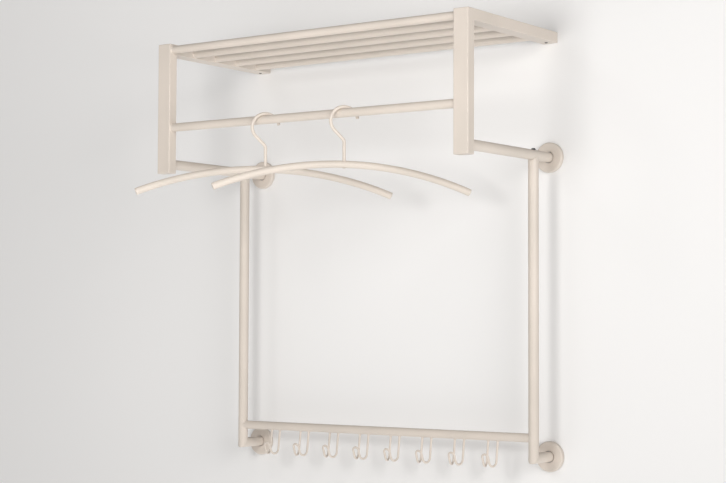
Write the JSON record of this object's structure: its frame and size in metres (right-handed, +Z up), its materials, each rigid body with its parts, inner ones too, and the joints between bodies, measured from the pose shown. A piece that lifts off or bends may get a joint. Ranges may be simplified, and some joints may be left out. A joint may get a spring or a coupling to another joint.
{
  "type": "wall coat rack",
  "caption": "Wall-mounted tubular steel coat rack with a barred hat shelf, hanger rail, sliding coat hangers and a lower rail of wire hooks.",
  "frame": {"origin": "on the wall plane, midway between the centres of the two lower wall plates", "axes": "+Z up, +X to the right seen from the room, +Y into the wall; the rack stands out from the wall towards -Y"},
  "size_m": [0.725, 0.4832, 0.799],
  "materials": {
    "frame_coat": "satin powder coat, warm sand",
    "hanger_coat": "satin powder coat, warm sand",
    "black_screws": "black oxide",
    "zinc_fixings": "zinc plated"
  },
  "bodies": {
    "frame": {"bottom_rail": "frame_coat", "hanger_rail": "frame_coat", "left_block_screw": "zinc_fixings", "left_clamp_screw": "black_screws", "left_lower_arm": "frame_coat", "left_lower_plate_screw_a": "zinc_fixings", "left_lower_plate_screw_b": "zinc_fixings", "left_lower_stub": "frame_coat", "left_lower_wall_plate": "zinc_fixings", "left_post": "frame_coat", "left_top_arm": "frame_coat", "left_upper_plate_screw_a": "zinc_fixings", "left_upper_plate_screw_b": "zinc_fixings", "left_upper_wall_plate": "zinc_fixings", "left_upright": "frame_coat", "left_upright_insert": "zinc_fixings", "left_upright_screw": "black_screws", "left_wall_block": "zinc_fixings", "right_block_screw": "zinc_fixings", "right_clamp_screw": "black_screws", "right_lower_arm": "frame_coat", "right_lower_plate_screw_a": "zinc_fixings", "right_lower_plate_screw_b": "zinc_fixings", "right_lower_stub": "frame_coat", "right_lower_wall_plate": "zinc_fixings", "right_post": "frame_coat", "right_top_arm": "frame_coat", "right_upper_plate_screw_a": "zinc_fixings", "right_upper_plate_screw_b": "zinc_fixings", "right_upper_wall_plate": "zinc_fixings", "right_upright": "frame_coat", "right_upright_insert": "zinc_fixings", "right_upright_screw": "black_screws", "right_wall_block": "zinc_fixings", "shelf_bar_1": "frame_coat", "shelf_bar_2": "frame_coat", "shelf_bar_3": "frame_coat", "shelf_bar_4": "frame_coat", "shelf_bar_5": "frame_coat", "wire_hook_1": "frame_coat", "wire_hook_2": "frame_coat", "wire_hook_3": "frame_coat", "wire_hook_4": "frame_coat", "wire_hook_5": "frame_coat", "wire_hook_6": "frame_coat", "wire_hook_7": "frame_coat", "wire_hook_8": "frame_coat"},
    "hanger_1_hook": {"hanger_1_hook": "hanger_coat", "hanger_1_rivet": "hanger_coat"},
    "hanger_1_bar": {"hanger_1_bar": "hanger_coat"},
    "hanger_2_hook": {"hanger_2_hook": "hanger_coat", "hanger_2_rivet": "hanger_coat"},
    "hanger_2_bar": {"hanger_2_bar": "hanger_coat"},
    "left_upper_rose": {"left_upper_rose": "frame_coat"},
    "left_lower_rose": {"left_lower_rose": "frame_coat"},
    "right_upper_rose": {"right_upper_rose": "frame_coat"},
    "right_lower_rose": {"right_lower_rose": "frame_coat"}
  },
  "joints": [
    {"name": "hanger_1_slide", "type": "slide", "parent": "frame", "child": "hanger_1_hook", "axis": [1, 0, 0], "range_m": [-0.1, 0.16]},
    {"name": "hanger_1_swivel", "type": "hinge", "parent": "hanger_1_hook", "child": "hanger_1_bar", "pos_m": [0.0856, -0.296, 0.52], "axis": [0, 0, 1], "range_deg": [-28, 36]},
    {"name": "hanger_2_slide", "type": "slide", "parent": "frame", "child": "hanger_2_hook", "axis": [1, 0, 0], "range_m": [-0.16, 0.1]},
    {"name": "hanger_2_swivel", "type": "hinge", "parent": "hanger_2_hook", "child": "hanger_2_bar", "pos_m": [-0.0929, -0.296, 0.52], "axis": [0, 0, 1], "range_deg": [-28, 36]},
    {"name": "left_upper_rose_slide", "type": "slide", "parent": "frame", "child": "left_upper_rose", "axis": [0, -1, 0], "range_m": [0, 0.035]},
    {"name": "left_lower_rose_slide", "type": "slide", "parent": "frame", "child": "left_lower_rose", "axis": [0, -1, 0], "range_m": [0, 0.035]},
    {"name": "right_upper_rose_slide", "type": "slide", "parent": "frame", "child": "right_upper_rose", "axis": [0, -1, 0], "range_m": [0, 0.035]},
    {"name": "right_lower_rose_slide", "type": "slide", "parent": "frame", "child": "right_lower_rose", "axis": [0, -1, 0], "range_m": [0, 0.035]}
  ]
}
